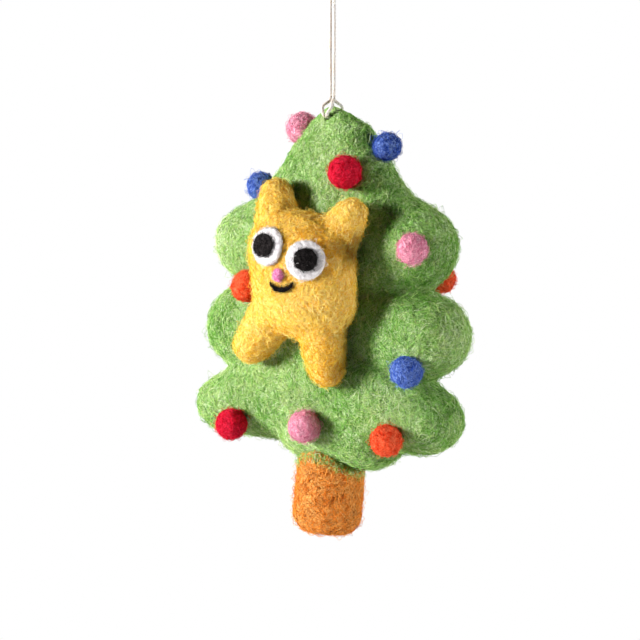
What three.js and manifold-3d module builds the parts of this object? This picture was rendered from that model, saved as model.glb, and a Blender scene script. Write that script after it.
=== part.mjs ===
// Needle-felted tree ornament with a felt cat on its front, hung by a doubled cotton twine.
// Millimetres, +Z up, the front looks along -Y. The origin is where a hook carries the twine's loop.

import * as THREE from 'three';
import { ConvexGeometry } from 'three/addons/geometries/ConvexGeometry.js';
import { mergeVertices } from 'three/addons/utils/BufferGeometryUtils.js';
import Module from 'manifold-3d';

const wasm = await Module();
wasm.setup();

// Felt layers and the gaps that felted pieces keep to each other
const seatGap = 0.3;
const skinThickness = 3;

// Tree: heights are above the foot of the trunk, widths are from the twine's line
const treeHeight = 134;
const apexRadius = 3.75;
const apexDepth = 3.2;
const plumbOffset = 2.6;
const solidTipLength = 16;
const coreTipRadius = 5.6;
const browLeft = { x: -2.9, z: 126.5, rx: 4.6, ry: 4.6, rz: 4.6 };
const browRight = { x: 7.2, z: 121.7, rx: 7.8, ry: 6.4, rz: 7.8 };
const crownHeight = 99;
const crownRadius = 12;
const crownDepthLeft = 12;
const crownDepthRight = 10;
const crownLeft = 15.5;
const crownRight = 16.1;
const upperTierLeft = { x: -29.8, z: 91, rx: 13.3, ry: 10, rz: 12.2 };
const upperTierRight = { x: 28, z: 90, rx: 13.3, ry: 12.6, rz: 13.3 };
const middleTierLeft = { x: -33, z: 64.6, rx: 13, ry: 10.8, rz: 13.3 };
const middleTierRight = { x: 32.4, z: 62.7, rx: 13.4, ry: 13.6, rz: 12.9 };
const lowerTierLeft = { x: -37.3, z: 40, rx: 12.7, ry: 10.8, rz: 9.7 };
const lowerTierRight = { x: 30.6, z: 36.3, rx: 13, ry: 12.4, rz: 10.3 };
const hemLeft = { x: -7, z: 33.5, rx: 13, ry: 12, rz: 10.5 };
const hemRight = { x: 11.4, z: 32.2, rx: 12.7, ry: 12, rz: 11.6 };
const crownHeart = { x: 0, z: 98, rx: 12, ry: 13.6, rz: 17 };
const upperHeart = { x: 0, z: 87, rx: 13, ry: 14.4, rz: 30 };
const middleHeart = { x: 0, z: 62, rx: 14, ry: 14.7, rz: 27 };
const lowerHeart = { x: 0, z: 52, rx: 14, ry: 14.5, rz: 20 };
const valleyDepth = 5.5;

// Trunk: a flared felt stub with a plug that sits in the tree
const trunkX = -3.8;
const trunkLean = 5;
const trunkTopRadius = 10.3;
const trunkFootRadius = 10.8;
const trunkFootRounding = 6.5;
const trunkReach = 30;
const plugRadius = 6.5;
const plugDepth = 12;

// Cat: its own frame has its origin inside the body and is tilted on the tree
const catX = -1.2;
const catHeight = 82;
const catForward = 19;
const catTilt = 12;
const catHead = { x: -1.5, y: 0, z: 6, rx: 18.1, ry: 12.5, rz: 13 };
const catHips = { x: 1.8, y: 1, z: -8.2, rx: 17.2, ry: 11, rz: 12 };
const earRootLeft = { x: -11.8, y: 1, z: 12.6, rx: 7.4, ry: 6, rz: 6.5 };
const earTipLeft = { x: -15.3, y: 2, z: 22, rx: 4.4, ry: 3.9, rz: 4 };
const earRootRight = { x: 8, y: 1, z: 12, rx: 7.4, ry: 6, rz: 6.5 };
const earTipRight = { x: 11.9, y: 2, z: 21.4, rx: 4.4, ry: 3.9, rz: 4 };
const legRootLeft = { x: -7, y: 1, z: -13, rx: 8, ry: 7.5, rz: 8 };
const legEndLeft = { x: -14, y: 2, z: -26.2, rx: 5.3, ry: 5.5, rz: 5.3 };
const legRootRight = { x: 8.8, y: 1, z: -13, rx: 7.7, ry: 7.5, rz: 8 };
const legEndRight = { x: 13.5, y: 2, z: -27.2, rx: 4.9, ry: 5.3, rz: 4.9 };
const eyeTurn = 15;
const eyeLeft = { x: -7.25, z: 7 };
const eyeRight = { x: 6.9, z: 5.6 };
const eyeThickness = 1.2;
const whiteLeft = { shift: 0, rise: 0, rx: 6.1, rz: 5.85 };
const whiteRight = { shift: 0, rise: 0, rx: 6.1, rz: 6.1 };
const pupilThickness = 0.9;
const pupilLeft = { shift: -0.3, rise: 0.2, rx: 4.1, rz: 3.65 };
const pupilRight = { shift: 0.4, rise: 0.4, rx: 3.75, rz: 3.6 };
const noseHeight = -0.6;
const noseX = -1.45;
const noseWidth = 4.1;
const noseLength = 4.9;
const noseStandOut = 1.6;
const mouthX = -0.3;
const mouthHeight = -2.6;
const mouthSpan = 8.4;
const mouthSag = 2.4;
const mouthMiddleWidth = 1.35;
const mouthEndWidth = 0.9;
const mouthThickness = 0.8;

// Balls: each sits where the outward line through its spot leaves the tree, pressed in a little
const ballSink = 1;
const pinkTopLeft = { x: -15.3, y: 2, z: 129.4, radius: 5.2 };
const blueTopRight = { x: 20.5, y: -4, z: 121.2, radius: 4.4 };
const redUpper = { x: 11, y: -15, z: 113.3, radius: 5.25 };
const blueLeft = { x: -25.4, y: 0, z: 107.6, radius: 4.6 };
const pinkRight = { x: 34.6, y: -13.8, z: 89.6, radius: 4.8 };
const orangeLeft = { x: -25.4, y: -10, z: 77.5, radius: 5.1 };
const orangeRight = { x: 28, y: 8, z: 80, radius: 4.5 };
const blueLower = { x: 32, y: -14, z: 52.2, radius: 5 };
const redLower = { x: -30.5, y: -14, z: 34, radius: 5 };
const pinkLower = { x: -2.8, y: -17, z: 34, radius: 5.05 };
const orangeLower = { x: 26, y: -15, z: 31.1, radius: 5 };
const balls = [
  { name: 'ball_pink_top_left', felt: 'pink', spot: pinkTopLeft, outward: [-0.72, 0.25, 0.65] },
  { name: 'ball_blue_top_right', felt: 'blue', spot: blueTopRight, outward: [0.75, -0.35, 0.56] },
  { name: 'ball_red_upper', felt: 'red', spot: redUpper, outward: [0.15, -0.95, 0.28] },
  { name: 'ball_blue_left', felt: 'blue', spot: blueLeft, outward: [-0.68, -0.3, 0.61] },
  { name: 'ball_pink_right', felt: 'pink', spot: pinkRight, outward: [0.25, -0.97, 0] },
  { name: 'ball_orange_left', felt: 'orange', spot: orangeLeft, outward: [-0.3, -0.95, 0] },
  { name: 'ball_orange_right', felt: 'orange', spot: orangeRight, outward: [0.5, 0.86, 0] },
  { name: 'ball_blue_lower', felt: 'blue', spot: blueLower, outward: [0.2, -0.98, 0] },
  { name: 'ball_red_lower', felt: 'red', spot: redLower, outward: [-0.15, -0.95, -0.25] },
  { name: 'ball_pink_lower', felt: 'pink', spot: pinkLower, outward: [0, -0.95, -0.3] },
  { name: 'ball_orange_lower', felt: 'orange', spot: orangeLower, outward: [0.1, -0.95, -0.3] },
];

// Twine: two strands from the loop's throat down to the neck, a hitch through the apex, a knot on top
const twineDiameter = 1.15;
const strandRoute = [
  [0.6, 0, -8.4], [0.6, 0, -10.8], [0.62, 0.02, -13.2], [0.66, 0.04, -15.6], [0.7, 0.05, -18],
  [0.72, 0.04, -20.4], [0.73, 0.02, -22.8], [0.73, 0, -25.2], [0.72, -0.03, -27.6], [0.7, -0.05, -30],
  [0.67, -0.05, -32.4], [0.64, -0.04, -34.8], [0.62, -0.02, -37.2], [0.6, 0, -39.6], [0.6, 0, -42],
];
const throatGap = 0.4;
const eyeHalfWidth = 2.5;
const eyeFootPitch = 0.5;
const eyeHeadPitch = 0.8;
const knotFoot = 1.6;
const knotWidth = 4.2;
const knotHeight = 3.4;
const tailLength = 5;
const tailSpread = 2.6;
const neckGap = 0.45;
const neckWidth = 2.3;
const neckThickness = 1.5;
const neckAboveApex = 1.5;
const channelClearance = 0.35;
const channelPitch = 0.42;
const armClearance = 0.6;
const armMouthAngle = 6;
const armSpreads = [{ angle: 25, x: 1.2 }, { angle: 45, x: 1.6 }, { angle: 66, x: 1 }];
const armNeckPitch = 0.55;

// Felt colours
const felts = {
  green: { color: 0x86b860, roughness: 0.95 },
  wool: { color: 0xe6dfd0, roughness: 0.95 },
  yellow: { color: 0xecb846, roughness: 0.95 },
  brown: { color: 0xc8742c, roughness: 0.95 },
  pink: { color: 0xd07c9e, roughness: 0.95 },
  red: { color: 0xbe1c3a, roughness: 0.95 },
  blue: { color: 0x3e63be, roughness: 0.95 },
  orange: { color: 0xe64f28, roughness: 0.95 },
  white: { color: 0xece8e6, roughness: 0.95 },
  black: { color: 0x222021, roughness: 0.95 },
  rose: { color: 0xee86b6, roughness: 0.95 },
  twine: { color: 0xece6da, roughness: 0.9 },
};
const feltMaterial = (look) => new THREE.MeshStandardMaterial({ ...look, metalness: 0 });
const feltMaterials = Object.fromEntries(
  Object.entries(felts).map(([name, look]) => [name, feltMaterial(look)]),
);

// Closed geometry to solid and back, so that pieces can be joined and cut
function solidOf(geometry) {
  const bare = geometry.clone();
  bare.deleteAttribute('normal');
  bare.deleteAttribute('uv');
  const merged = mergeVertices(bare, 1e-4);
  const mesh = new wasm.Mesh({
    numProp: 3,
    vertProperties: new Float32Array(merged.attributes.position.array),
    triVerts: new Uint32Array(merged.index.array),
  });
  return new wasm.Manifold(mesh);
}

function geometryOf(solid) {
  const mesh = solid.getMesh();
  const geometry = new THREE.BufferGeometry();
  geometry.setAttribute('position', new THREE.BufferAttribute(mesh.vertProperties, 3));
  geometry.setIndex(new THREE.BufferAttribute(mesh.triVerts, 1));
  geometry.computeVertexNormals();
  return geometry;
}

function joined(solids) {
  return solids.reduce((whole, solid) => whole.add(solid));
}

function piece(name, felt, solid) {
  const mesh = new THREE.Mesh(geometryOf(solid), feltMaterials[felt]);
  mesh.name = name;
  return mesh;
}

// A swelling form: the hull round a few ellipsoids, each grown by the same amount
const fineSegments = 18;
const plainSegments = 12;

function ellipsoidPoints(lobe, grow, segments) {
  const ball = new THREE.SphereGeometry(1, segments, segments / 2);
  ball.scale(lobe.rx + grow, lobe.ry + grow, lobe.rz + grow);
  ball.translate(lobe.x, lobe.y ?? 0, lobe.z);
  const spots = ball.attributes.position;
  return Array.from({ length: spots.count }, (_, i) => new THREE.Vector3().fromBufferAttribute(spots, i));
}

function hull(lobes, grow, segments) {
  return solidOf(new ConvexGeometry(lobes.flatMap((lobe) => ellipsoidPoints(lobe, grow, segments))));
}

// Tree: a crown and three tiers of rounded boughs that swell from a thick middle, with a hem at the foot
const channelHeight = treeHeight - apexRadius;
const apex = { x: 0, y: -plumbOffset, z: channelHeight, rx: apexRadius, ry: apexDepth, rz: apexRadius };
const crownTips = [apex, { ...browLeft, y: -plumbOffset }, { ...browRight, y: -plumbOffset }];
const shoulderLeft = { x: -crownLeft, z: crownHeight, rx: crownRadius, ry: crownDepthLeft, rz: crownRadius };
const shoulderRight = { x: crownRight, z: crownHeight, rx: crownRadius, ry: crownDepthRight, rz: crownRadius };

// A valley runs down the front beside the cat, between the middle and the right boughs of the two upper tiers
function thinned(heart) {
  return { ...heart, y: valleyDepth / 2, ry: heart.ry - valleyDepth / 2 };
}

function treeForm(grow, tips, segments) {
  return joined([
    hull([...tips, shoulderLeft, shoulderRight, crownHeart], grow, segments),
    hull([upperTierLeft, upperHeart], grow, segments),
    hull([thinned(upperHeart), upperTierRight], grow, segments),
    hull([middleTierLeft, middleHeart], grow, segments),
    hull([thinned(middleHeart), middleTierRight], grow, segments),
    hull([lowerTierLeft, lowerHeart, lowerTierRight], grow, segments),
    hull([hemLeft, hemRight], grow, segments),
  ]);
}

// The wool core stops short of the tip, which is solid green felt
const coreTip = {
  x: 0,
  y: -plumbOffset,
  z: channelHeight - solidTipLength,
  rx: coreTipRadius,
  ry: coreTipRadius,
  rz: coreTipRadius,
};
const treeOutside = treeForm(0, crownTips, fineSegments);
const treeSeat = treeForm(seatGap, crownTips, fineSegments);
const coreRoom = treeForm(-skinThickness, [coreTip], plainSegments);
const coreOutside = treeForm(-skinThickness - seatGap, [coreTip], plainSegments);

// Trunk: turned outline, cut by the tree above it, with a plug up into the tree
const trunkSides = 24;

function trunkFrame(geometry) {
  geometry.rotateX(Math.PI / 2);
  geometry.rotateY(THREE.MathUtils.degToRad(trunkLean));
  geometry.translate(trunkX, 0, 0);
  return geometry;
}

function trunkStub() {
  const outline = new THREE.Path();
  outline.moveTo(0, 0);
  outline.lineTo(trunkFootRadius - trunkFootRounding, 0);
  outline.absarc(trunkFootRadius - trunkFootRounding, trunkFootRounding, trunkFootRounding, -Math.PI / 2, 0);
  outline.lineTo(trunkTopRadius, trunkReach);
  outline.lineTo(0, trunkReach);
  return solidOf(trunkFrame(new THREE.LatheGeometry(outline.getPoints(5), trunkSides)));
}

function trunkPlug(grow) {
  const length = trunkReach + plugDepth + grow - trunkFootRounding;
  const plug = new THREE.CylinderGeometry(plugRadius + grow, plugRadius + grow, length, trunkSides);
  plug.translate(0, trunkFootRounding + length / 2, 0);
  return solidOf(trunkFrame(plug));
}

function makeTrunk() {
  return trunkStub().subtract(treeSeat).add(trunkPlug(0));
}

// Twine tubes follow a smooth curve through their points
const twineRadius = twineDiameter / 2;
const twineSides = 8;
const arcPoints = twineSides / 2;
const eyeSteps = 14;
const tailSteps = 6;
const hitchSteps = 32;

function twineTube(points, steps) {
  const route = new THREE.CatmullRomCurve3(points.map((point) => new THREE.Vector3(...point)));
  const section = new THREE.Shape();
  section.absarc(0, 0, twineRadius, 0, 2 * Math.PI);
  const settings = { steps, extrudePath: route, curveSegments: arcPoints, bevelEnabled: false };
  return solidOf(new THREE.ExtrudeGeometry(section, settings));
}

// Channel for the twine through the apex, front to back
function cordChannel() {
  const radius = channelPitch + twineRadius + channelClearance;
  const bore = new THREE.CylinderGeometry(radius, radius, 4 * apexDepth, fineSegments);
  bore.translate(0, -plumbOffset, channelHeight);
  return solidOf(bore);
}

function makeTreeSkin() {
  return treeOutside.subtract(coreRoom).subtract(trunkPlug(seatGap)).subtract(cordChannel());
}

function makeTreeCore() {
  return coreOutside.subtract(trunkPlug(seatGap));
}

// Balls: the outward line is followed in from outside until it meets the tree
const treeSurface = new THREE.Mesh(geometryOf(treeOutside), feltMaterials.green);
const farAway = 3 * treeHeight;

function makeBall({ name, felt, spot, outward }) {
  const out = new THREE.Vector3(...outward).normalize();
  const start = new THREE.Vector3(spot.x, spot.y, spot.z).addScaledVector(out, farAway);
  const [hit] = new THREE.Raycaster(start, out.clone().negate()).intersectObject(treeSurface);
  const centre = hit.point.addScaledVector(out, spot.radius - ballSink);
  const ball = new THREE.SphereGeometry(spot.radius, plainSegments, plainSegments * 2 / 3);
  const seat = geometryOf(treeSeat).translate(-centre.x, -centre.y, -centre.z);
  const mesh = piece(name, felt, solidOf(ball).subtract(solidOf(seat)));
  mesh.position.copy(centre);
  return mesh;
}

// Cat: everything is made in its own frame, where the tree is moved to
const catPlace = new THREE.Group();
catPlace.position.set(catX, -catForward, catHeight);
catPlace.rotation.y = THREE.MathUtils.degToRad(catTilt);
catPlace.updateMatrix();
const treeInCat = solidOf(geometryOf(treeSeat).applyMatrix4(catPlace.matrix.clone().invert()));

function catForm(grow) {
  return hull([catHead, catHips], grow, fineSegments);
}

const catSeat = catForm(seatGap);

function makeCatLimb(root, end) {
  return hull([root, end], 0, plainSegments).subtract(catSeat).subtract(treeInCat);
}

// A thin patch that follows the cat's face inside a cutter's outline
function facePatch(cutter, inner, thickness) {
  return catForm(inner + thickness).intersect(cutter).subtract(catForm(inner));
}

const faceReach = 3 * catHead.ry;

function eyeCutter(eye, oval) {
  const disc = new THREE.CylinderGeometry(1, 1, faceReach, trunkSides);
  disc.scale(oval.rx, 1, oval.rz);
  disc.translate(oval.shift, -faceReach / 2, oval.rise);
  const turn = Math.sign(eye.x) * THREE.MathUtils.degToRad(eyeTurn);
  disc.rotateZ(turn);
  const ahead = catHead.ry / 2;
  disc.translate(eye.x - ahead * Math.tan(turn), -ahead, eye.z);
  return solidOf(disc);
}

function makeEyeWhite(eye, oval) {
  return facePatch(eyeCutter(eye, oval), seatGap, eyeThickness);
}

function makePupil(eye, oval) {
  return facePatch(eyeCutter(eye, oval), 2 * seatGap + eyeThickness, pupilThickness);
}

function faceFront(x, z) {
  const head = new THREE.Mesh(geometryOf(catForm(seatGap)), feltMaterials.yellow);
  const start = new THREE.Vector3(x, -farAway, z);
  const [hit] = new THREE.Raycaster(start, new THREE.Vector3(0, 1, 0)).intersectObject(head);
  return hit.point.y;
}

function makeNose() {
  const nose = new THREE.SphereGeometry(0.5, plainSegments, plainSegments / 2);
  nose.scale(noseWidth, noseWidth, noseLength);
  nose.translate(noseX, faceFront(noseX, noseHeight) - noseStandOut + noseWidth / 2, noseHeight);
  return solidOf(nose).subtract(catSeat);
}

// The mouth is a crescent that thins to its ends and lies level although the cat is tilted
function makeMouth() {
  const edge = (along, side) => {
    const swell = 1 - Math.abs(along) ** 3;
    const half = THREE.MathUtils.lerp(mouthEndWidth, mouthMiddleWidth, swell) / 2;
    return new THREE.Vector2(along * mouthSpan / 2, side * half - mouthSag * swell);
  };
  const steps = Array.from({ length: plainSegments + 1 }, (_, i) => 2 * i / plainSegments - 1);
  const lower = steps.map((along) => edge(along, -1));
  const upper = steps.map((along) => edge(along, 1)).reverse();
  const crescent = new THREE.Shape([...lower, ...upper]);
  const prism = new THREE.ExtrudeGeometry(crescent, { depth: faceReach, bevelEnabled: false });
  prism.rotateX(Math.PI / 2);
  prism.rotateY(THREE.MathUtils.degToRad(-catTilt));
  prism.translate(mouthX, 0, mouthHeight);
  return facePatch(solidOf(prism), seatGap, mouthThickness);
}

// Twine pieces, in the frame of the whole ornament
function makeStrand(side) {
  return twineTube(strandRoute.map(([x, y, z]) => [side * x, y, z]), strandRoute.length - 1);
}

const throat = strandRoute[0][2] + throatGap;
const neck = strandRoute.at(-1)[2] - neckGap - neckThickness / 2;

function makeLoopEye() {
  const head = knotFoot - seatGap;
  const bow = (side) => twineTube([
    [side * eyeFootPitch, 0, throat],
    [side * eyeHeadPitch, 0, throat + 1.4 * twineDiameter],
    [side * eyeHalfWidth, 0, throat / 2],
    [side * eyeHalfWidth, 0, throat / 6],
    [side * eyeHeadPitch, 0, head - seatGap],
    [side * eyeHeadPitch, 0, head],
  ], eyeSteps);
  return bow(-1).add(bow(1));
}

function makeKnot() {
  const body = new THREE.SphereGeometry(0.5, plainSegments, plainSegments / 2);
  body.scale(knotWidth, knotWidth, knotHeight);
  const middle = knotFoot + knotHeight / 2;
  body.translate(0, 0, middle);
  const tail = (side) => twineTube([
    [0, 0, middle],
    [side * tailSpread * 0.3, 0, middle + tailLength * 0.5],
    [side * tailSpread * 0.75, 0, middle + tailLength * 0.85],
    [side * tailSpread, 0, middle + tailLength],
  ], tailSteps);
  return joined([solidOf(body), tail(-1), tail(1)]);
}

// The hitch runs through the apex channel; its arms follow the apex up to a pinched neck
function makeHitch() {
  const channel = neck - neckAboveApex - apexRadius;
  const standOff = twineRadius + armClearance;
  const overApex = (angle, front, x) => {
    const turn = THREE.MathUtils.degToRad(angle);
    const y = front * (apexDepth + standOff) * Math.cos(turn);
    const z = channel + (apexRadius + standOff) * Math.sin(turn);
    return [x, y, z];
  };
  const halfRoute = (side, front) => [
    [side * channelPitch, front * apexDepth * 0.7, channel],
    overApex(armMouthAngle, front, side * channelPitch),
    ...armSpreads.map(({ angle, x }) => overApex(angle, front, side * x)),
    [side * armNeckPitch, front * neckThickness, neck - neckThickness * 0.55],
    [side * armNeckPitch, front * neckThickness * 0.4, neck - neckThickness * 0.15],
  ];
  const strand = (side) => twineTube([...halfRoute(side, -1).reverse(), ...halfRoute(side, 1)], hitchSteps);
  const pinch = new THREE.SphereGeometry(0.5, plainSegments, plainSegments / 2);
  pinch.scale(neckWidth, neckThickness, neckThickness);
  pinch.translate(0, 0, neck);
  return joined([strand(-1), strand(1), solidOf(pinch)]);
}

// Scene graph: the twine hangs from the origin, and the ornament hangs on the twine
const ornament = new THREE.Group();
ornament.position.set(0, plumbOffset, neck - neckAboveApex - treeHeight);
ornament.add(piece('tree_skin', 'green', makeTreeSkin()));
ornament.add(piece('tree_core', 'wool', makeTreeCore()));
ornament.add(piece('trunk', 'brown', makeTrunk()));
balls.forEach((ball) => ornament.add(makeBall(ball)));

catPlace.add(piece('cat_body', 'yellow', catForm(0).subtract(treeInCat)));
catPlace.add(piece('cat_ear_left', 'yellow', makeCatLimb(earRootLeft, earTipLeft)));
catPlace.add(piece('cat_ear_right', 'yellow', makeCatLimb(earRootRight, earTipRight)));
catPlace.add(piece('cat_leg_left', 'yellow', makeCatLimb(legRootLeft, legEndLeft)));
catPlace.add(piece('cat_leg_right', 'yellow', makeCatLimb(legRootRight, legEndRight)));
catPlace.add(piece('cat_eye_white_left', 'white', makeEyeWhite(eyeLeft, whiteLeft)));
catPlace.add(piece('cat_eye_white_right', 'white', makeEyeWhite(eyeRight, whiteRight)));
catPlace.add(piece('cat_pupil_left', 'black', makePupil(eyeLeft, pupilLeft)));
catPlace.add(piece('cat_pupil_right', 'black', makePupil(eyeRight, pupilRight)));
catPlace.add(piece('cat_nose', 'rose', makeNose()));
catPlace.add(piece('cat_mouth', 'black', makeMouth()));
ornament.add(catPlace);

const twine = new THREE.Group();
twine.add(piece('cord_strand_left', 'twine', makeStrand(-1)));
twine.add(piece('cord_strand_right', 'twine', makeStrand(1)));
twine.add(piece('cord_hitch', 'twine', makeHitch()));
twine.add(piece('cord_loop_eye', 'twine', makeLoopEye()));
twine.add(piece('cord_knot', 'twine', makeKnot()));

const feltOrnament = new THREE.Group();
feltOrnament.add(ornament, twine);

export default feltOrnament;
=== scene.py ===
# %% [markdown]
# # A needle-felted tree ornament
# The CAD model holds every solid of the ornament and says what moves. This lesson dresses it: the plain
# solids become lumpy wool felt with real fibres on it, and the cord becomes twisted cotton twine.
# The model is loaded first and never changed. Its box is kept, and the floor is set below it.

import math

import bpy
import numpy as np
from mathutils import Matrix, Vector
from mathutils.bvhtree import BVHTree


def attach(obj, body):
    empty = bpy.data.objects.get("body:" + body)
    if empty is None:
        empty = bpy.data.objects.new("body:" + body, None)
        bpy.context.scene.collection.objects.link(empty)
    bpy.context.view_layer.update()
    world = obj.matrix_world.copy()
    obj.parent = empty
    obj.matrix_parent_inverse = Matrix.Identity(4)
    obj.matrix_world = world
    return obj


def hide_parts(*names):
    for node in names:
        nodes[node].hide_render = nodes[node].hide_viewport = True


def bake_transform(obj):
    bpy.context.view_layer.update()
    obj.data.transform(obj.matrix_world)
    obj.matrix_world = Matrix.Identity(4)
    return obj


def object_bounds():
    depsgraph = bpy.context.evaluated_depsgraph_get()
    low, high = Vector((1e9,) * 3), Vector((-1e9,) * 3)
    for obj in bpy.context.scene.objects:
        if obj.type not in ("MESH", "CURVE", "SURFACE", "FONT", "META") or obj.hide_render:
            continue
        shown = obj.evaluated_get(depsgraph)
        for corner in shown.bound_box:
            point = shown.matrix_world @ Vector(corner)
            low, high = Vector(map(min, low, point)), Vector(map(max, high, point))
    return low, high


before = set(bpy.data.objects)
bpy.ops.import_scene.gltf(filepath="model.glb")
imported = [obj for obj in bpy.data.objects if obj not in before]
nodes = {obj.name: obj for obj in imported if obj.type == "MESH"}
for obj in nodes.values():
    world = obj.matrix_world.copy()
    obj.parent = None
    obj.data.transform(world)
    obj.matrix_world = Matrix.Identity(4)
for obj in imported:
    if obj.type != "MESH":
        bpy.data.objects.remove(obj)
cad_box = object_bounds()
scene = bpy.context.scene
MM = 0.001
print("CAD nodes:", len(nodes))

# %% [markdown]
# # Camera
# A long lens stands almost level with the ornament and a little to its right, so the cat looks past it to the
# left. Angle, distance and lens are real sizes, so the picture's proportions come out by themselves.

# %% Camera
VIEW_AZIMUTH = math.radians(30)
VIEW_ELEVATION = math.radians(2)
VIEW_DISTANCE = 900 * MM
SENSOR_MM = 36
LENS_MM = 162
CLIP_NEAR = 50 * MM
CLIP_FAR = 50
AIM = Vector((-3.4, -1.8, -111.6)) * MM

towards_camera = Vector((
    math.sin(VIEW_AZIMUTH) * math.cos(VIEW_ELEVATION),
    -math.cos(VIEW_AZIMUTH) * math.cos(VIEW_ELEVATION),
    math.sin(VIEW_ELEVATION),
))
bpy.ops.object.camera_add(
    location=AIM + towards_camera * VIEW_DISTANCE,
    rotation=(-towards_camera).to_track_quat("-Z", "Y").to_euler(),
)
camera = bpy.context.object
camera.data.sensor_width = SENSOR_MM
camera.data.lens = LENS_MM
camera.data.clip_start = CLIP_NEAR
camera.data.clip_end = CLIP_FAR
scene.camera = camera
print("camera at", [round(x, 3) for x in camera.location])

# %% [markdown]
# # Shader sums in Python
# A finish is a small network of nodes. Writing each link by hand hides the idea, so a socket is wrapped in a
# class whose operators add Math nodes. Another class adds any other node: settings first, then sockets.

# %% Sockets that take part in sums
class Field:
    """A value that changes over a surface."""

    def __init__(self, look, socket):
        self.look = look
        self.socket = socket

    def math(self, operation, first, second=0.0):
        made = self.look.node("ShaderNodeMath", {"operation": operation}, {0: first, 1: second})
        return Field(self.look, made.outputs[0])

    def __add__(self, other):
        return self.math("ADD", self, other)

    def __sub__(self, other):
        return self.math("SUBTRACT", self, other)

    def __rsub__(self, other):
        return self.math("SUBTRACT", other, self)

    def __mul__(self, other):
        return self.math("MULTIPLY", self, other)

    def __pow__(self, other):
        return self.math("POWER", self, other)

    def __abs__(self):
        return self.math("ABSOLUTE", self)

    def clamped(self):
        made = self.look.node("ShaderNodeClamp", {}, {0: self})
        return Field(self.look, made.outputs[0])

    def sharpened(self, gain, cut):
        """The field with more contrast, kept between nought and one."""
        return (self * gain - cut).clamped()

    __radd__ = __add__
    __rmul__ = __mul__


# %% Nodes of a finish
class Look:
    """The nodes of one finish, or of the world."""

    def __init__(self, owner):
        owner.use_nodes = True
        self.tree = owner.node_tree
        self.tree.nodes.clear()

    def node(self, kind, settings=None, sockets=None):
        made = self.tree.nodes.new(kind)
        for name, value in (settings or {}).items():
            setattr(made, name, value)
        for name, value in (sockets or {}).items():
            if isinstance(value, Field):
                self.tree.links.new(value.socket, made.inputs[name])
            elif isinstance(value, bpy.types.NodeSocket):
                self.tree.links.new(value, made.inputs[name])
            else:
                made.inputs[name].default_value = value
        return made

    def mix(self, share, first, second):
        made = self.node("ShaderNodeMix", {"data_type": "RGBA"}, {0: share, 6: first, 7: second})
        return made.outputs[2]

    def noise(self, place, size, detail=2.0, distortion=0.0):
        sockets = {"Vector": place, "Scale": 1 / size, "Detail": detail, "Distortion": distortion}
        return Field(self, self.node("ShaderNodeTexNoise", {}, sockets).outputs[0])


def paint(red, green, blue):
    """A colour from 0 to 255 as the linear values that shaders take."""
    shares = (red / 255, green / 255, blue / 255)
    linear = [s / 12.92 if s <= 0.04045 else ((s + 0.055) / 1.055) ** 2.4 for s in shares]
    return (*linear, 1.0)


# %% [markdown]
# # Stage and light
# The ornament hangs in front of white. The floor is well below it and keeps its shadow, and the world and the
# floor show the camera plain white without lighting the wool more. A soft lamp at the left gives the shade on
# the right of every form and the shadow of the cat on the tree. A weaker one at the right grazes the fibres
# of the shaded side, so that they still stand out there, and one behind lights the back. A faint one near the
# floor stands for the light that pale paper throws up under the boughs, the legs and the balls.

# %% World
AMBIENT = 0.02
WHITE = paint(255, 255, 255)


def seen_directly(look):
    """One where the camera looks straight, by mirror or through glass, and nought for other light."""
    path = look.node("ShaderNodeLightPath")
    straight = Field(look, path.outputs["Is Camera Ray"])
    mirrored = Field(look, path.outputs["Is Glossy Ray"])
    through = Field(look, path.outputs["Is Transmission Ray"])
    return (straight + mirrored + through).clamped()


world = bpy.data.worlds.new("studio")
scene.world = world
look = Look(world)
level = seen_directly(look) * (1 - AMBIENT) + AMBIENT
sky = look.node("ShaderNodeBackground", {}, {"Color": WHITE, "Strength": level})
look.node("ShaderNodeOutputWorld", {}, {"Surface": sky.outputs[0]})
print("world light", AMBIENT)

# %% Floor
FLOOR_SIZE = 12
FLOOR_BELOW = 200 * MM
PAPER_GREY = paint(140, 140, 139)
SHADOW_SHARE = 0.4
SHADOW_REACH = 0.7

bpy.ops.object.select_all(action="DESELECT")
bpy.ops.mesh.primitive_plane_add(size=FLOOR_SIZE, location=(0, 0, cad_box[0].z - FLOOR_BELOW))
floor = bpy.context.object
floor.name = "floor"
floor_paper = bpy.data.materials.new("white paper")
look = Look(floor_paper)
lit = look.node("ShaderNodeBsdfDiffuse", {}, {"Color": PAPER_GREY})
white = look.node("ShaderNodeEmission", {}, {"Color": WHITE, "Strength": 1.0})
spot = look.node("ShaderNodeTexCoord").outputs["Object"]
reach = look.node("ShaderNodeVectorMath", {"operation": "LENGTH"}, {0: spot})
away = Field(look, reach.outputs["Value"])
shadow = (1 - away * (1 / SHADOW_REACH)).clamped() * SHADOW_SHARE
share = seen_directly(look) * (1 - shadow)
both = look.node("ShaderNodeMixShader", {}, {0: share, 1: lit.outputs[0], 2: white.outputs[0]})
look.node("ShaderNodeOutputMaterial", {}, {"Surface": both.outputs[0]})
floor.data.materials.append(floor_paper)
print("floor at", round(floor.location.z, 3))

# %% Lamps
def add_lamp(name, direction, distance, size, power):
    offset = Vector(direction).normalized() * distance
    turn = offset.to_track_quat("Z", "Y").to_euler()
    bpy.ops.object.light_add(type="AREA", location=AIM + offset, rotation=turn)
    lamp = bpy.context.object
    lamp.name = name
    lamp.visible_camera = False
    lamp.data.size = size
    lamp.data.energy = power
    print(name, "lamp of", power, "watts")


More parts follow.
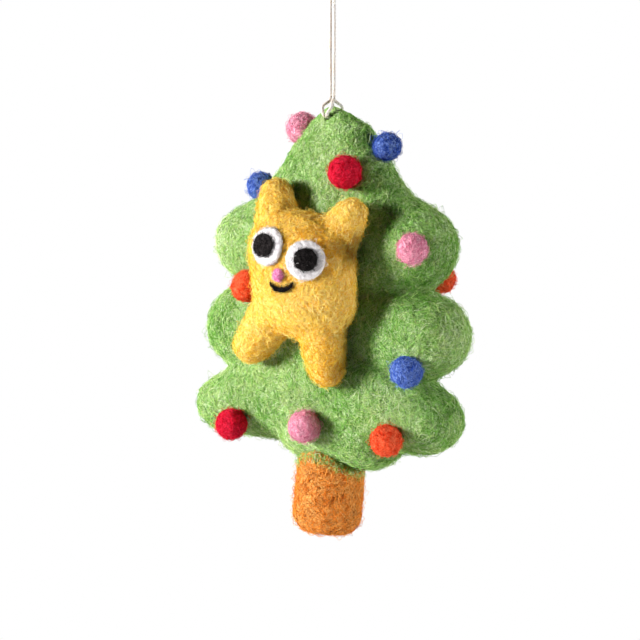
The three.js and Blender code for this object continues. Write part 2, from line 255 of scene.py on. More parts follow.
add_lamp("key", (-0.635, -0.755, 0.16), distance=0.9, size=0.24, power=18.5)
add_lamp("side fill", (0.97, 0.2, 0.05), distance=0.9, size=0.25, power=7)
add_lamp("back", (-0.3, 0.93, 0.2), distance=0.9, size=0.5, power=11)
add_lamp("floor bounce", (0.1, -0.3, -0.95), distance=0.24, size=0.2, power=0.25)
scene.view_settings.view_transform = "Standard"

# %% [markdown]
# # Twine
# The cord is cotton twine of three plies, doubled. Two strands run side by side from the loop's throat to the
# neck over the apex, and the length of each is printed. A plain tube with a bump map would do from afar, but
# close up the plies show in the outline. So each ply is a helix round the route, made as a bevelled curve and
# turned into a mesh.

# %% Routes
TWINE = 1.15 * MM
STEP = 0.32 * MM
CURVE_STEPS = 24
FEWEST_POINTS = 4


def smooth_route(points):
    """A Catmull-Rom curve through points in mm, in even steps, in metres."""
    p = np.array(points, float) * MM
    p = np.vstack([2 * p[0] - p[1], p, 2 * p[-1] - p[-2]])
    fine = []
    for a, b, c, d in zip(p, p[1:], p[2:], p[3:]):
        for t in np.linspace(0, 1, CURVE_STEPS, endpoint=False):
            bend = (2 * a - 5 * b + 4 * c - d) * t ** 2
            ease = (3 * b - a - 3 * c + d) * t ** 3
            fine.append(0.5 * (2 * b + (c - a) * t + bend + ease))
    fine.append(p[-2])
    fine = np.array(fine)
    along = np.concatenate([[0], np.cumsum(np.linalg.norm(np.diff(fine, axis=0), axis=1))])
    even = np.linspace(0, along[-1], max(FEWEST_POINTS, round(along[-1] / STEP) + 1))
    return np.column_stack([np.interp(even, along, fine[:, k]) for k in range(3)])


# %% Plies
PLY_COUNT = 3
PLY_OFFSET = 0.27 * MM
PLY_RADIUS = 0.3 * MM
LAY_LENGTH = 3.4 * MM
ASLANT = (0.31, 0.93, 0.2)
FRAY_DIAMETERS = 1.6


def plies_of(route, fray=0.0):
    """The centre lines of the plies that twist round a route; fray opens them towards its end."""
    tangents = np.gradient(route, axis=0)
    tangents /= np.linalg.norm(tangents, axis=1)[:, None]
    side = np.cross(tangents[0], ASLANT)
    sides = []
    for t in tangents:
        side = side - t * (side @ t)
        side = side / np.linalg.norm(side)
        sides.append(side)
    sides = np.array(sides)
    ups = np.cross(tangents, sides)
    along = np.arange(len(route)) * np.linalg.norm(route[1] - route[0])
    opening = np.clip((along - along[-1]) / TWINE / FRAY_DIAMETERS + 1, 0, 1) ** 2
    offsets = PLY_OFFSET * (1 + fray * opening)
    for ply in range(PLY_COUNT):
        turn = 2 * math.pi * (along / LAY_LENGTH + ply / PLY_COUNT)
        ring = sides * np.cos(turn)[:, None] + ups * np.sin(turn)[:, None]
        yield route + ring * offsets[:, None]


# %% Twine of some routes
def select_only(piece):
    bpy.ops.object.select_all(action="DESELECT")
    piece.select_set(True)
    bpy.context.view_layer.objects.active = piece


def make_twine(name, routes, fray=0.0):
    curve = bpy.data.curves.new(name, "CURVE")
    curve.dimensions = "3D"
    curve.bevel_depth = PLY_RADIUS
    curve.bevel_resolution = 1
    curve.use_fill_caps = True
    for route in routes:
        for line in plies_of(route, fray):
            spline = curve.splines.new("POLY")
            spline.points.add(len(line) - 1)
            spline.points.foreach_set("co", np.column_stack([line, np.ones(len(line))]).ravel())
    print(name, "with", len(curve.splines), "plies")
    twine = bpy.data.objects.new(name, curve)
    scene.collection.objects.link(twine)
    select_only(twine)
    bpy.ops.object.convert(target="MESH")
    bpy.ops.object.shade_smooth()
    return bpy.context.object


# %% [markdown]
# # Twine finish
# Cotton twine is off-white and dull, greyer and a little beige between its plies, with fine fibres along
# them. Light soaks into it, so its shaded side stays pale: that is what subsurface light is for.

# %% Twine finish
COTTON = paint(216, 213, 208)
COTTON_BEIGE = paint(212, 194, 178)
COTTON_GREY = paint(186, 178, 169)
STAIN_SIZE = 6 * MM
COTTON_FIBRE = 0.25 * MM
COTTON_BUMP = 0.08 * MM
GREY_SHARE = 0.35


def twine_finish():
    material = bpy.data.materials.new("cotton twine")
    look = Look(material)
    place = look.node("ShaderNodeTexCoord").outputs["Object"]
    stains = look.noise(place, STAIN_SIZE, detail=3)
    strands = look.noise(place, COTTON_FIBRE, detail=3, distortion=1.2)
    colour = look.mix(stains.sharpened(gain=2.4, cut=0.7), COTTON, COTTON_BEIGE)
    colour = look.mix(strands.sharpened(gain=1.6, cut=0.5) * GREY_SHARE, colour, COTTON_GREY)
    bump = look.node("ShaderNodeBump", {}, {"Strength": 0.5, "Distance": COTTON_BUMP, "Height": strands})
    shader = look.node("ShaderNodeBsdfPrincipled", {}, {
        "Base Color": colour, "Roughness": 0.85, "Normal": bump.outputs[0],
        "Subsurface Weight": 1.0, "Subsurface Radius": (1, 1, 1), "Subsurface Scale": 1.0 * MM,
        "Sheen Weight": 0.1, "Sheen Roughness": 0.5,
    })
    look.node("ShaderNodeOutputMaterial", {}, {"Surface": shader.outputs[0]})
    return material


twine_material = twine_finish()


def dress_twine(piece, node):
    piece.data.materials.append(twine_material)
    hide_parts(node)
    print(piece.name, len(piece.data.polygons), "faces")


# %% [markdown]
# # Knot, loop and hitch
# A needle pulls the twine through a channel in the apex. It comes out in front and behind as four arms, which
# meet at the neck. At the other end the strands open into the eye of the loop, and the knot closes it.
# All routes are in mm and follow the CAD solids. The solid of the knot is a plain lump, so its turns are
# worked out here.

# %% Hitch
SIDES = (-1, 1)
NECK = -43.2
CHANNEL = -48.45
APEX_RADIUS = 3.75
APEX_DEPTH = 3.2
ARM_STAND_OFF = TWINE / MM / 2 + 0.6
ARM_START = 0.3
NECK_PITCH = 0.55
CHANNEL_PITCH = 0.42
NECK_THICKNESS = 1.5
NECK_SHARE = 0.4
NECK_TOP = NECK + 1.1
ARM_BOWS = ((6, CHANNEL_PITCH), (25, 1.2), (45, 1.6), (66, 1.0))


def hitch_route(side, front):
    """Out of the channel, up over the front or the back of the apex and into the neck below a strand."""
    arm = [(side * CHANNEL_PITCH, front * APEX_DEPTH * ARM_START, CHANNEL)]
    for angle, spread in ARM_BOWS:
        turn = math.radians(angle)
        y = front * (APEX_DEPTH + ARM_STAND_OFF) * math.cos(turn)
        arm.append((side * spread, y, CHANNEL + (APEX_RADIUS + ARM_STAND_OFF) * math.sin(turn)))
    arm.append((side * NECK_PITCH, front * NECK_THICKNESS * NECK_SHARE, NECK))
    arm.append((side * NECK_PITCH, 0, NECK_TOP))
    return arm


arms = [smooth_route(hitch_route(side, front)) for side in SIDES for front in SIDES]
hitch = make_twine("twine_hitch", arms)

# %% Eye of the loop
THROAT = -8.0
EYE_ROUTE = (
    (0.5, THROAT), (0.8, THROAT + 1.6), (2.5, THROAT / 2), (2.5, THROAT / 6), (0.8, 1.0), (0.8, 2.2),
)


def beside_middle(points, side):
    """A route on one side of the twine's middle line."""
    return smooth_route([(side * x, 0, z) for x, z in points])


eye = make_twine("twine_loop_eye", [beside_middle(EYE_ROUTE, side) for side in SIDES])

# %% Knot and its tails
KNOT_MIDDLE = 3.3
KNOT_HALF_WIDTH = 1.5
KNOT_HALF_HEIGHT = 1.12
KNOT_TURNS = 3
KNOT_TILT = math.radians(52)
KNOT_POINTS = 60
KNOT_FRAY = 0.9
TAIL_ROUTE = (
    (0.3, KNOT_MIDDLE - 1.0), (0.5, KNOT_MIDDLE), (0.8, KNOT_MIDDLE + 2.5), (1.95, KNOT_MIDDLE + 4.2),
    (2.6, KNOT_MIDDLE + 5.0),
)


def knot_route():
    """Tilted turns that creep round the knot, as the wraps of a tight overhand knot do."""
    points = []
    for t in np.linspace(0, 2 * math.pi * KNOT_TURNS, KNOT_POINTS):
        drift = t / KNOT_TURNS
        flat = (math.cos(t), math.sin(t) * math.cos(KNOT_TILT), math.sin(t) * math.sin(KNOT_TILT))
        points.append((
            KNOT_HALF_WIDTH * (flat[0] * math.cos(drift) - flat[1] * math.sin(drift)),
            KNOT_HALF_WIDTH * (flat[0] * math.sin(drift) + flat[1] * math.cos(drift)),
            KNOT_MIDDLE + KNOT_HALF_HEIGHT * flat[2],
        ))
    return points


tails = [beside_middle(TAIL_ROUTE, side) for side in SIDES]
knot = make_twine("twine_knot", [smooth_route(knot_route())] + tails, KNOT_FRAY)

# %% Bodies of hitch, eye and knot
TWINE_ENDS = (
    (hitch, "cord_hitch", "hitch"),
    (eye, "cord_loop_eye", "hanging_loop"),
    (knot, "cord_knot", "hanging_loop"),
)
for piece, node, body in TWINE_ENDS:
    dress_twine(piece, node)
    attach(piece, body)

# %% [markdown]
# # Strands
# The strands follow the same points as the CAD route. When the ornament turns on its twine, the strands wind
# round each other; here each is one fixed mesh in its resting place.

# %% Strands
STRAND_ROUTE = (
    (0.6, 0, -8.4), (0.6, 0, -10.8), (0.62, 0.02, -13.2), (0.66, 0.04, -15.6), (0.7, 0.05, -18),
    (0.72, 0.04, -20.4), (0.73, 0.02, -22.8), (0.73, 0, -25.2), (0.72, -0.03, -27.6), (0.7, -0.05, -30),
    (0.67, -0.05, -32.4), (0.64, -0.04, -34.8), (0.62, -0.02, -37.2), (0.6, 0, -39.6), (0.6, 0, -42),
)
for side, word in zip(SIDES, ("left", "right")):
    route = smooth_route([(side * x, y, z) for x, y, z in STRAND_ROUTE])
    strand = make_twine("twine_strand_" + word, [route])
    dress_twine(strand, "cord_strand_" + word)
    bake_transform(strand)
    length = float(np.linalg.norm(np.diff(route, axis=0), axis=1).sum())
    print(strand.name, "length", round(length / MM, 1), "mm")

# %% [markdown]
# # Felt forms
# Needle felt has no seams: the maker stabs wool until it mats into one plump skin. Each CAD solid is copied,
# its triangles are merged, and a voxel remesh turns it into an even net of small faces. Smoothing rounds the
# creases as felting does. Solids that grow into each other are joined first and become one form. The forms
# could be sculpted by hand, but this way each one still follows its solid.

# %% Felt forms
MERGE_WITHIN = 0.002 * MM
SMOOTH_FACTOR = 0.5


def apply_modifier(piece, kind, **settings):
    modifier = piece.modifiers.new(kind.lower(), kind)
    for name, value in settings.items():
        setattr(modifier, name, value)
    select_only(piece)
    bpy.ops.object.modifier_apply(modifier=modifier.name)


def copy_solid(name, node):
    piece = bpy.data.objects.new(name, nodes[node].data.copy())
    piece.data.materials.clear()
    scene.collection.objects.link(piece)
    select_only(piece)
    bpy.ops.object.mode_set(mode="EDIT")
    bpy.ops.mesh.select_all(action="SELECT")
    bpy.ops.mesh.remove_doubles(threshold=MERGE_WITHIN)
    bpy.ops.object.mode_set(mode="OBJECT")
    return piece


def felt_form(name, node_names, voxel, smoothing, swell=0.0):
    """One felted form out of some CAD solids: joined, remeshed and smoothed."""
    copies = [copy_solid(name, node) for node in node_names]
    for copy in copies[1:]:
        apply_modifier(copy, "DISPLACE", strength=swell, mid_level=0)
    select_only(copies[0])
    for copy in copies:
        copy.select_set(True)
    if len(copies) > 1:
        bpy.ops.object.join()
    piece = bpy.context.object
    apply_modifier(piece, "REMESH", mode="VOXEL", voxel_size=voxel)
    apply_modifier(piece, "SMOOTH", factor=SMOOTH_FACTOR, iterations=smoothing)
    select_only(piece)
    bpy.ops.object.shade_smooth()
    piece.name = name
    return piece


# %% [markdown]
# # Lumps
# A felting needle leaves lumps. A cloud texture pushes the net out and in for them, and they fade out where a
# piece sits against its neighbours, so that the seats stay clear.

# %% Distances between surfaces
def search_tree(pieces):
    """A searchable surface of some objects together."""
    corners, faces = [], []
    for piece in pieces:
        mesh = piece.data
        start = len(corners)
        corners.extend(v.co.copy() for v in mesh.vertices)
        faces.extend([start + i for i in face.vertices] for face in mesh.polygons)
    return BVHTree.FromPolygons(corners, faces)


def distances(places, search):
    return np.array([search.find_nearest(Vector(p))[3] for p in places])


def places_of(piece):
    flat = np.empty(len(piece.data.vertices) * 3)
    piece.data.vertices.foreach_get("co", flat)
    return flat.reshape(-1, 3)


# %% Lumps
LUMP_DETAIL = 2
LUMP_LEVELS = 10
SEAT_SHARE = 0.4


def lump(piece, neighbours, size, height, clear=1.2 * MM):
    """Lumps of a size and height, faded out near the neighbours."""
    texture = bpy.data.textures.new(piece.name + " lumps", "CLOUDS")
    texture.noise_scale = size
    texture.noise_depth = LUMP_DETAIL
    group = piece.vertex_groups.new(name="free")
    free = np.clip(distances(places_of(piece), neighbours) / clear - SEAT_SHARE, 0, 1)
    for level in range(LUMP_LEVELS + 1):
        near = np.flatnonzero(np.round(free * LUMP_LEVELS) == level)
        group.add(near.tolist(), level / LUMP_LEVELS, "REPLACE")
    apply_modifier(piece, "DISPLACE", texture=texture, texture_coords="LOCAL", strength=2 * height,
                   mid_level=0.5, vertex_group=group.name)
    piece.vertex_groups.clear()


# %% Neighbours
BALLS = [name for name in nodes if name.startswith("ball_")]
CORDS = [name for name in nodes if name.startswith("cord_")]
CAT = ["cat_body", "cat_ear_left", "cat_ear_right", "cat_leg_left", "cat_leg_right"]
FACE = {
    "cat_eye_white_left": "white", "cat_eye_white_right": "white", "cat_pupil_left": "black",
    "cat_pupil_right": "black", "cat_nose": "rose", "cat_mouth": "black",
}
beside_tree = search_tree(nodes[name] for name in BALLS + CAT + CORDS + ["trunk", "tree_core"])
beside_cat = search_tree(nodes[name] for name in ["tree_skin", *FACE])
beside_balls = search_tree([nodes["tree_skin"]])
print(len(BALLS), "balls and", len(FACE), "patches of the face")

# %% [markdown]
# # Felt finish
# Close up, felt is a mat of fine fibres: light ones on top and darker gaps between. The surface below the
# fibres gets a cloudy colour and ridged noise, which draws thin winding lines like matted wool. It keeps to
# the deep end of its wool, darker than the fibres on it: partly the wool's own tint and partly painted shade
# for the gaps between the fibres. The fibres on top are modelled later, and their finish only looks up the
# tint that each of them has.

# %% Felt finish
CLOUD_SIZE = 9 * MM
# How far the clouds lift the painted shade of the base towards the body tint.
CLOUD_SHARE_OVER_PAINTED_SHADE = 0.5
WISP_SIZE = 1.3 * MM
WISP_SHARE = 0.75
WISP_SHARPNESS = 6.0
WISP_ROUNDNESS = 3.0
GRAIN_SIZE = 0.32 * MM
GRAIN_HEIGHT = 0.6
FELT_BUMP = 0.25 * MM


def felt_finish(name, deep, body, light):
    material = bpy.data.materials.new(name + " felt")
    look = Look(material)
    place = look.node("ShaderNodeTexCoord").outputs["Object"]
    clouds = look.noise(place, CLOUD_SIZE, detail=3).sharpened(gain=2.6, cut=0.8)
    wisps = 1 - abs(look.noise(place, WISP_SIZE, detail=3, distortion=1.6) * 2 - 1)
    grain = look.noise(place, GRAIN_SIZE, detail=2, distortion=0.8)
    # Painted shade: the clouds lift the deep tint at most halfway to the body, so the felt under the fibres
    # stays dark.
    colour = look.mix(clouds * CLOUD_SHARE_OVER_PAINTED_SHADE, deep, body)
    colour = look.mix((wisps ** WISP_SHARPNESS * WISP_SHARE).clamped(), colour, light)
    height = wisps ** WISP_ROUNDNESS + grain * GRAIN_HEIGHT
    bump = look.node("ShaderNodeBump", {}, {"Strength": 0.8, "Distance": FELT_BUMP, "Height": height})
    shader = look.node("ShaderNodeBsdfPrincipled", {}, {
        "Base Color": colour, "Roughness": 0.95, "Normal": bump.outputs[0],
        "Sheen Weight": 0.03, "Sheen Roughness": 0.45, "Specular IOR Level": 0.05,
    })
    look.node("ShaderNodeOutputMaterial", {}, {"Surface": shader.outputs[0]})
    return material


# %% Fibre finish
def fibre_finish(name, tints):
    """Each fibre has its own tint out of the blend, kept on the mesh as a number."""
    material = bpy.data.materials.new(name + " fibres")
    look = Look(material)
    tint = look.node("ShaderNodeAttribute", {"attribute_name": "tint"})
    ramp = look.node("ShaderNodeValToRGB", {}, {0: tint.outputs["Fac"]})
    stops = ramp.color_ramp.elements
    stops[0].color = tints[0]
    stops[1].color = tints[-1]
    for number, colour in enumerate(tints[1:-1], 1):
        stops.new(number / (len(tints) - 1)).color = colour
    shader = look.node("ShaderNodeBsdfPrincipled", {}, {
        "Base Color": ramp.outputs[0], "Roughness": 0.85, "Sheen Weight": 0.01, "Specular IOR Level": 0.05,
    })
    look.node("ShaderNodeOutputMaterial", {}, {"Surface": shader.outputs[0]})
    return material


# %% [markdown]
# # Wools
# Dyed wool is a blend of tints from deep to light. The felt below takes three tints of its wool, and every
# fibre takes its own from the whole blend. One table holds all wools, so a colour is changed in one place.

# %% Wools
WOOLS = {
    "green": ((74, 124, 36), (120, 184, 68), (163, 209, 118), (192, 217, 128), (226, 239, 194)),
    "yellow": ((232, 156, 18), (250, 196, 50), (255, 220, 90), (255, 229, 118), (255, 240, 162)),
    "brown": ((116, 44, 4), (210, 106, 22), (246, 148, 48), (252, 166, 68), (255, 192, 108)),
    "pink": ((194, 90, 124), (240, 146, 172), (252, 204, 218)),
    "red": ((158, 0, 24), (228, 3, 46), (240, 54, 84)),
    "blue": ((20, 40, 112), (46, 88, 194), (142, 172, 238)),
    "orange": ((196, 34, 8), (252, 82, 36), (255, 134, 90)),
    "white": ((218, 212, 213), (246, 242, 243), (254, 252, 252)),
    "black": ((2, 2, 2), (7, 6, 7), (66, 60, 60)),
    "rose": ((226, 104, 166), (255, 160, 212), (255, 212, 238)),
    "wool": ((206, 196, 176), (228, 220, 204), (244, 238, 226)),
}
SLOTS = {"wool": "core_wool"}
felts = {}
fibres = {}
for wool, colours in WOOLS.items():
    tints = [paint(*colour) for colour in colours]
    felts[wool] = felt_finish(wool, tints[0], tints[len(tints) // 2], tints[-1])
    fibres[wool] = fibre_finish(wool, tints)
print(len(felts), "wools")


def dress_felt(piece, wool, *replaced):
    piece.data.materials.clear()
    piece.data.materials.append(felts[wool])
    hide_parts(*replaced)
    SLOTS.get(wool, wool + "_felt")
    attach(piece, "ornament")
    print(piece.name, len(piece.data.polygons), "faces")
    return piece


# %% [markdown]
# # Tree, core and trunk
# The green skin is felted over a core of undyed wool, and the trunk's plug is pushed up into both. The skin
# keeps its inner wall, as the real one does. Large lumps come first and small ones on top of them.

# %% Tree, core and trunk
TREE_CLEAR = 2.5 * MM
tree = felt_form("tree_felt", ["tree_skin"], voxel=0.85 * MM, smoothing=10)
lump(tree, beside_tree, size=9 * MM, height=0.55 * MM, clear=TREE_CLEAR)
lump(tree, beside_tree, size=3 * MM, height=0.22 * MM, clear=TREE_CLEAR)
dress_felt(tree, "green", "tree_skin")

core = felt_form("tree_wool_core", ["tree_core"], voxel=2 * MM, smoothing=2)
dress_felt(core, "wool", "tree_core")

trunk = felt_form("trunk_felt", ["trunk"], voxel=0.7 * MM, smoothing=12)
lump(trunk, beside_balls, size=7 * MM, height=0.5 * MM)
lump(trunk, beside_balls, size=2.2 * MM, height=0.2 * MM)
dress_felt(trunk, "brown", "trunk")

# %% [markdown]
# # Cat
# The cat is one felted form: its ears and legs grow out of the body without a seam. The limbs are swollen a
# little before they are joined, so that the remesh closes the seat gaps between the solids. The patches of
# its face are thin felt that is needled on.

# %% Cat
cat = felt_form("cat_felt", CAT, voxel=0.7 * MM, smoothing=26, swell=0.8 * MM)
lump(cat, beside_cat, size=8 * MM, height=0.35 * MM)
lump(cat, beside_cat, size=2.6 * MM, height=0.16 * MM)
dress_felt(cat, "yellow", *CAT)

# %% Cat's face
face_pieces = {}
for node, wool in FACE.items():
    patch = felt_form(node + "_felt", [node], voxel=0.3 * MM, smoothing=20)
    face_pieces[node] = dress_felt(patch, wool, node)

# %% [markdown]
# # Balls
# The balls are rolled from wool and needled on. Each has its own lumps, because the cloud texture is read at
# its place on the ornament. A ball's node is named after its wool.

# %% Balls
ball_wools = {node: node.split("_")[1] for node in BALLS}
ball_pieces = {}
for node, wool in ball_wools.items():
    ball = felt_form(node + "_felt", [node], voxel=0.5 * MM, smoothing=8)
    lump(ball, beside_balls, size=3.5 * MM, height=0.3 * MM, clear=0.8 * MM)
    ball_pieces[node] = dress_felt(ball, wool, node)

# %% [markdown]
# # Fibres
# What makes felt look like felt is its fibres, so they are modelled: thousands of fine, curled, closed
# spindles. A fibre starts somewhere on the felt, creeps along it in small steps with a turn at each, and is
# put back on the surface after every step. Most lie flat, some arch, and a few stray ones rise and make the
# soft outline. Hair particles could draw them too, but a mesh is exported as it is and moves with its piece.

# %% One fibre
KNOTS = 5
FIBRE_SIDES = 3
FIBRE_CORNERS = 2 + (KNOTS - 2) * FIBRE_SIDES


def fibre_faces():
    """The triangles of one spindle: a fan at each tip and a band between each two rings."""
    first, last = 0, FIBRE_CORNERS - 1
    ring = [[1 + k * FIBRE_SIDES + s for s in range(FIBRE_SIDES)] for k in range(KNOTS - 2)]
    faces = []
    for s in range(FIBRE_SIDES):
        n = (s + 1) % FIBRE_SIDES
        faces.append((first, ring[0][n], ring[0][s]))
        faces.append((last, ring[-1][s], ring[-1][n]))
        for low, high in zip(ring, ring[1:]):
            faces.append((low[s], low[n], high[n]))
            faces.append((low[s], high[n], high[s]))
    return np.array(faces)


FIBRE_FACES = fibre_faces()
print("triangles of a fibre:", len(FIBRE_FACES))

# %% Starts of fibres
ALMOST_NOTHING = 1e-12


def unit(rows):
    return rows / np.maximum(np.linalg.norm(rows, axis=-1, keepdims=True), ALMOST_NOTHING)


def scatter(piece, count, rng, allowed):
    """Random places on a piece, even over its area, where allowed says so."""
    mesh = piece.data
    mesh.calc_loop_triangles()
    corners = np.empty(len(mesh.loop_triangles) * 3, int)
    mesh.loop_triangles.foreach_get("vertices", corners)
    a, b, c = places_of(piece)[corners.reshape(-1, 3)].transpose(1, 0, 2)
    cross = np.cross(b - a, c - a)
    weight = np.linalg.norm(cross, axis=1) * allowed((a + b + c) / 3)
    chosen = rng.choice(len(weight), count, p=weight / weight.sum())
    u, v = rng.random((2, count, 1))
    flip = u + v > 1
    u, v = np.where(flip, 1 - u, u), np.where(flip, 1 - v, v)
    return a[chosen] + u * (b - a)[chosen] + v * (c - a)[chosen], unit(cross[chosen])


# %% Fibres that creep
WANDER = 0.25


def creep(search, places, normals, steps, turns, rng):
    """The knots and normals of fibres that creep over a searchable surface."""
    ways = unit(np.cross(normals, rng.normal(size=normals.shape)))
    knots, ups = [places], [normals]
    for _ in range(KNOTS - 1):
        places = places + ways * steps[:, None]
        found = [search.find_nearest(Vector(p)) for p in places]
        places = np.array([f[0] for f in found])
        normals = np.array([f[1] for f in found])
        flat = unit(ways - normals * (ways * normals).sum(1, keepdims=True))
        turn = (turns + rng.normal(0, WANDER, len(turns)))[:, None]
        ways = flat * np.cos(turn) + np.cross(normals, flat) * np.sin(turn)
        knots.append(places)
        ups.append(normals)
    return np.stack(knots, 1), np.stack(ups, 1)


# %% [markdown]
# # Fibres as one mesh
# An object for each fibre would make thousands of objects. All fibres of a set share one mesh instead, filled
# from whole arrays at once, which is much quicker than adding corners one by one. Every fibre has few faces
# and a small square of its own on the map for baking.

# %% Mesh of many fibres
SPINDLE_START = 0.12
SPINDLE_END = 0.88
BAKE_MAP = "OFBake"
CELL_LOW = 0.1
CELL_HIGH = 0.9


def add_bake_map(mesh, count):
    """Gives each fibre one cell of a square grid, which all its triangles share."""
    across = math.ceil(math.sqrt(count))
    cell = np.stack([np.arange(count) % across, np.arange(count) // across], 1) / across
    corner = np.array(((CELL_LOW, CELL_LOW), (CELL_HIGH, CELL_LOW), (CELL_LOW, CELL_HIGH))) / across
    spots = cell[:, None, None] + np.broadcast_to(corner, (1, len(FIBRE_FACES), 3, 2))
    mesh.uv_layers.new(name=BAKE_MAP)
    mesh.uv_layers[BAKE_MAP].data.foreach_set("uv", spots.astype(np.float32).ravel())


def spindle_mesh(name, centres, ups, radii, tints):
    """One mesh with a closed spindle along each row of centres."""
    count = len(centres)
    along = unit(np.gradient(centres, axis=1))
    across = unit(np.cross(along, ups))
    ups = np.cross(across, along)
    swell = np.sin(np.linspace(SPINDLE_START, SPINDLE_END, KNOTS) * math.pi)[None, 1:-1, None]
    rings = []
    for s in range(FIBRE_SIDES):
        turn = 2 * math.pi * s / FIBRE_SIDES
        arm = (across * math.cos(turn) + ups * math.sin(turn))[:, 1:-1]
        rings.append(centres[:, 1:-1] + arm * swell * radii[:, None, None])
    body = np.stack(rings, 2).reshape(count, -1, 3)
    corners = np.concatenate([centres[:, :1], body, centres[:, -1:]], 1)
    faces = FIBRE_FACES[None] + (np.arange(count) * FIBRE_CORNERS)[:, None, None]
    mesh = bpy.data.meshes.new(name)
    mesh.vertices.add(count * FIBRE_CORNERS)
    mesh.vertices.foreach_set("co", corners.astype(np.float32).ravel())
    mesh.loops.add(faces.size)
    mesh.loops.foreach_set("vertex_index", faces.astype(np.int32).ravel())
    mesh.polygons.add(faces.size // 3)
    mesh.polygons.foreach_set("loop_start", np.arange(0, faces.size, 3, dtype=np.int32))
    mesh.polygons.foreach_set("use_smooth", np.ones(faces.size // 3, bool))
    mesh.attributes.new("tint", "FLOAT", "POINT")
    shades = np.repeat(tints, FIBRE_CORNERS).astype(np.float32)
    mesh.attributes["tint"].data.foreach_set("value", shades)
    add_bake_map(mesh, count)
    mesh.update(calc_edges=True)
    return mesh


# %% [markdown]
# # Fibres on a piece
# No two fibres of real wool are alike, so length, thickness, curl, rise and tint are drawn at random for
# each, and the stray ones are painted paler, as a highlight on the loose fuzz. The draws start from a fixed
# seed, so the same fibres come out every time. Wool is also carded unevenly, so the tint drifts slowly over a
# piece.

# %% Unevenly carded wool
PATCH_LENGTH = 26 * MM
PATCH_WAVES = 6


def patches(places, rng):
    """A smooth drift between about -1 and 1 over the piece, as wool that is carded unevenly has."""
    waves = unit(rng.normal(size=(PATCH_WAVES, 3))) * (2 * math.pi / PATCH_LENGTH)
    phases = rng.uniform(0, 2 * math.pi, PATCH_WAVES)
    return np.sin(places @ waves.T + phases).sum(1) / math.sqrt(PATCH_WAVES)


# %% Fibres on a piece
LENGTH_SPREAD = (0.6, 1.35)
RADIUS_SPREAD = (0.7, 1.3)
RISE_SPREAD = (0.35, 1.25)
RISE_CURVE = 1.5
ARCH = 0.3 * MM
LIE_SHARE = 0.2
STRAY_LENGTH = 0.55
STRAY_RADIUS = 0.5
# Stray fibres get a lighter tint: a painted highlight for light on the loose fuzz.
STRAY_PAINTED_HIGHLIGHT = 0.4
MIDDLE_TINT = 0.5
TINT_SPREAD = 0.26
PATCH_TINT = 0.16


def everywhere(places):
    return np.ones(len(places))


def make_fibres(name, base, wool, count, seed, length, radius, stray=0.07, rise=1.1 * MM, curl=0.6,
                allowed=everywhere, loft=everywhere, over=None):
    """Fibres over a felt piece, or from it over its neighbours; a share strays off, rises and is painted
    paler.
    """
    rng = np.random.default_rng(seed)
    surface = over or BVHTree.FromObject(base, bpy.context.evaluated_depsgraph_get())
    places, normals = scatter(base, count, rng, allowed)
    strays = rng.random(count) < stray
    lengths = length * rng.uniform(*LENGTH_SPREAD, count) * np.where(strays, STRAY_LENGTH, 1)
    turns = rng.normal(0, curl, count)
    centres, ups = creep(surface, places, normals, lengths / (KNOTS - 1), turns, rng)
    t = np.linspace(0, 1, KNOTS)[None]
    arch = rng.exponential(ARCH, count)[:, None] * np.sin(t * math.pi) + LIE_SHARE * radius
    lift = rise * rng.uniform(*RISE_SPREAD, count)[:, None] * t ** RISE_CURVE
    heights = np.where(strays[:, None], lift, arch) * loft(places)[:, None]
    centres = centres + ups * heights[..., None]
    radii = radius * rng.uniform(*RADIUS_SPREAD, count) * np.where(strays, STRAY_RADIUS, 1)
    drift = PATCH_TINT * patches(places, np.random.default_rng(len(wool)))
    # Strays are lifted towards the pale end of the blend, a painted highlight on the fuzz.
    tints = np.clip(rng.normal(MIDDLE_TINT, TINT_SPREAD, count) + drift + STRAY_PAINTED_HIGHLIGHT * strays, 0, 1)
    piece = bpy.data.objects.new(name, spindle_mesh(name, centres, ups, radii, tints))
    scene.collection.objects.link(piece)
    piece.data.materials.append(fibres[wool])
    wool + "_felt"
    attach(piece, "ornament")
    print(name, count, "fibres")


# %% [markdown]
# # Fibres of the tree
# The tree needs so many fibres that they are split into sets of a moderate size. They keep clear of what sits
# on the tree, and under the hitch they lie flat, so that it can swing over them.

# %% Fibres of the tree
TREE_FIBRE_SETS = 5
FIBRE_CLEAR = 0.7 * MM
HITCH_REACH = 4 * MM
HITCH_FADE = 5 * MM
FLAT_LOFT = 0.12


def free_tree(places):
    """Only the outer face of the skin, clear of what sits on it."""
    return distances(places, beside_tree) > FIBRE_CLEAR


def tree_loft(places):
    """Fibres lie flat where the hitch swings over the apex."""
    away = np.linalg.norm(places - np.array((0, 0, CHANNEL * MM)), axis=1)
    return np.clip((away - HITCH_REACH) / HITCH_FADE, FLAT_LOFT, 1)


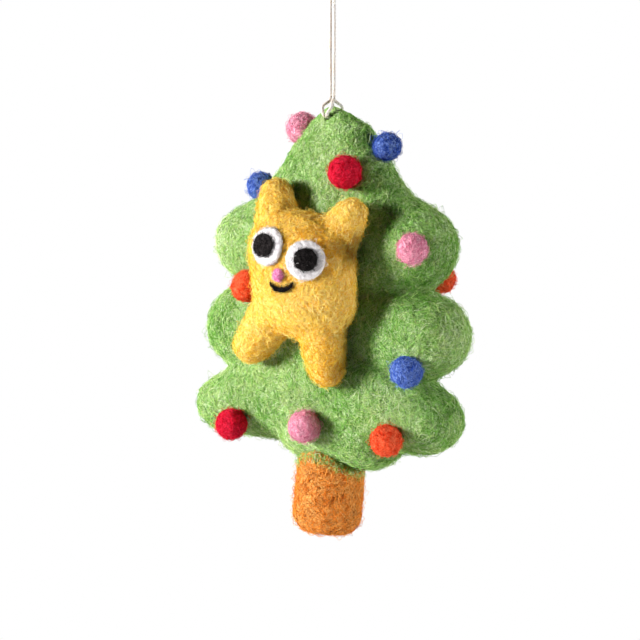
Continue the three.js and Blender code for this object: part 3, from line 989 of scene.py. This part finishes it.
for number in range(TREE_FIBRE_SETS):
    make_fibres(f"tree_fibres_{number + 1}", tree, "green", count=10500, seed=11 + number, length=4.8 * MM,
                radius=0.06 * MM, allowed=free_tree, loft=tree_loft)

# %% [markdown]
# # Fibres of the trunk
# The trunk's wool is short and tight. Where it meets the tree, the maker draws green wool down over it, so a
# collar of green fibres starts on the trunk and creeps over both pieces.

# %% Fibres of the trunk
SEAT_GAP = 0.6 * MM
COLLAR = 2.6 * MM
tree_search = search_tree([tree])


def trunk_collar(places):
    """The ring of the trunk just below the tree, without the plug inside it."""
    away = distances(places, tree_search)
    return (away > SEAT_GAP) & (away < COLLAR)


make_fibres("trunk_fibres", trunk, "brown", count=6000, seed=21, length=3.0 * MM, radius=0.06 * MM,
            stray=0.05, rise=0.7 * MM, curl=0.25)
make_fibres("tree_fibres_at_trunk", trunk, "green", count=3000, seed=17, length=2.6 * MM, radius=0.06 * MM,
            stray=0.03, rise=0.7 * MM, allowed=trunk_collar, over=search_tree([tree, trunk]))

# %% [markdown]
# # Fibres of the cat and the balls
# The cat's wool is a little finer than the tree's. A ball is rolled hard, so few of its fibres stray.

# %% Fibres of the cat and the balls
CAT_FIBRE_SETS = 2
for number in range(CAT_FIBRE_SETS):
    make_fibres(f"cat_fibres_{number + 1}", cat, "yellow", count=9000, seed=31 + number, length=3.6 * MM,
                radius=0.05 * MM)
for number, (node, wool) in enumerate(ball_wools.items()):
    make_fibres(node + "_fibres", ball_pieces[node], wool, count=800, seed=51 + number, length=2.6 * MM,
                radius=0.05 * MM, stray=0.04, rise=0.5 * MM)

# %% [markdown]
# # Fibres of the face
# The patches of the face are needled into the cat, so their edges aren't cut clean: their fibres creep on
# over the cat's own wool. The surface that they creep over is the cat and its whole face together.

# %% Fibres of the face
FACE_FIBRES = {"white": (1100, 2.2 * MM), "black": (700, 1.3 * MM), "rose": (420, 1.3 * MM)}
face_surface = search_tree([cat, *face_pieces.values()])
for number, (node, wool) in enumerate(FACE.items()):
    count, length = FACE_FIBRES[wool]
    make_fibres(node + "_fibres", face_pieces[node], wool, count=count, seed=71 + number, length=length,
                radius=0.05 * MM, stray=0.2, rise=0.5 * MM, over=face_surface)
